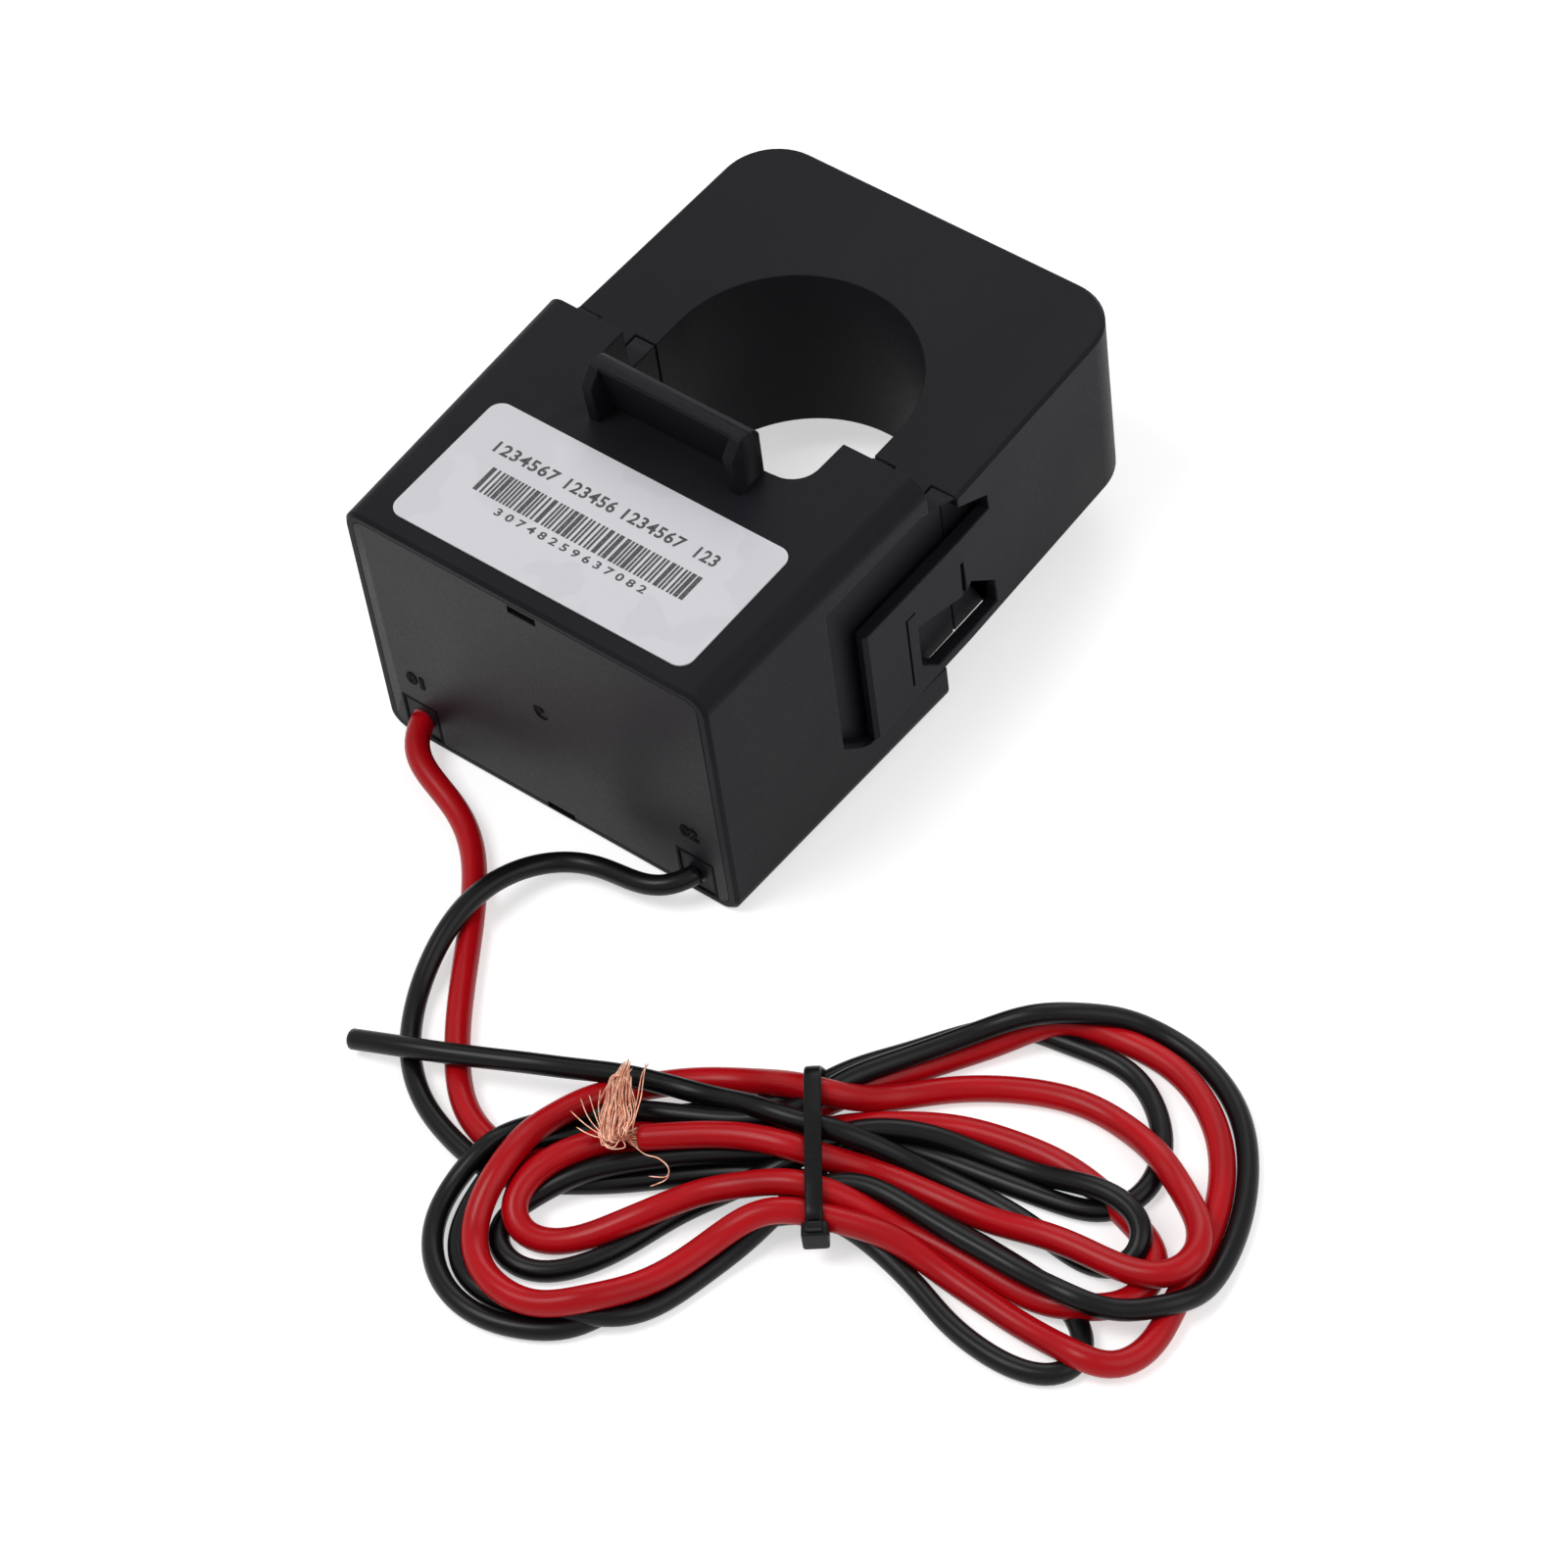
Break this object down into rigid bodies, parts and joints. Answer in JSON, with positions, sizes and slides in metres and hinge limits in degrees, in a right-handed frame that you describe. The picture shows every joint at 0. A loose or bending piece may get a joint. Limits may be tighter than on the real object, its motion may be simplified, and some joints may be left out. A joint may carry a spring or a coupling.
{
  "type": "split-core current transformer",
  "caption": "Clip-on split-core current transformer: a charcoal housing whose far half lifts off a square window, with red and black leads tied in a hank.",
  "frame": {"origin": "centre of the conductor window, on its axis and half way through its length", "axes": "+Z along the conductor, out of the labelled face; +Y from the lead end towards the lift-off half; +X across the width"},
  "size_m": [0.1462, 0.1558, 0.052],
  "materials": {
    "housing": "semi-matte, moulded",
    "cover": "semi-matte, moulded",
    "bush": "semi-matte",
    "label_film": "satin printed film",
    "core_steel": "cut and lapped faces",
    "spring_steel": "bright",
    "bobbin_nylon": "natural nylon",
    "winding_wire": "enamelled wire",
    "tape": "polyester film tape",
    "pad": "closed foam",
    "red_pvc": "soft satin",
    "black_pvc": "soft satin",
    "sleeve": "shrunk sleeve",
    "copper": "bright bare strands",
    "tie_nylon": "satin nylon"
  },
  "bodies": {
    "lower": {"lower_housing": "housing", "end_cover": "cover", "outlet_bush_red": "bush", "outlet_bush_black": "bush", "label": "label_film", "lower_core": "core_steel", "bobbin": "bobbin_nylon", "secondary_winding": "winding_wire", "winding_tape": "tape", "coil_pad": "pad", "red_lead_tail": "red_pvc", "black_lead_tail": "black_pvc", "splice_sleeve_red": "sleeve", "splice_sleeve_black": "sleeve", "red_lead": "red_pvc", "black_lead": "black_pvc", "lead_hank": "red_pvc", "black_lead_end": "black_pvc", "copper_strands": "copper", "cable_tie_strap": "tie_nylon", "cable_tie_head": "tie_nylon"},
    "upper": {"upper_housing": "housing", "upper_back_cover": "cover", "upper_core": "core_steel", "core_spring_left": "spring_steel", "core_spring_right": "spring_steel"}
  },
  "joints": [
    {"name": "upper_lift_off", "type": "slide", "parent": "lower", "child": "upper", "axis": [0, 1, 0], "range_m": [0, 0.045]}
  ]
}
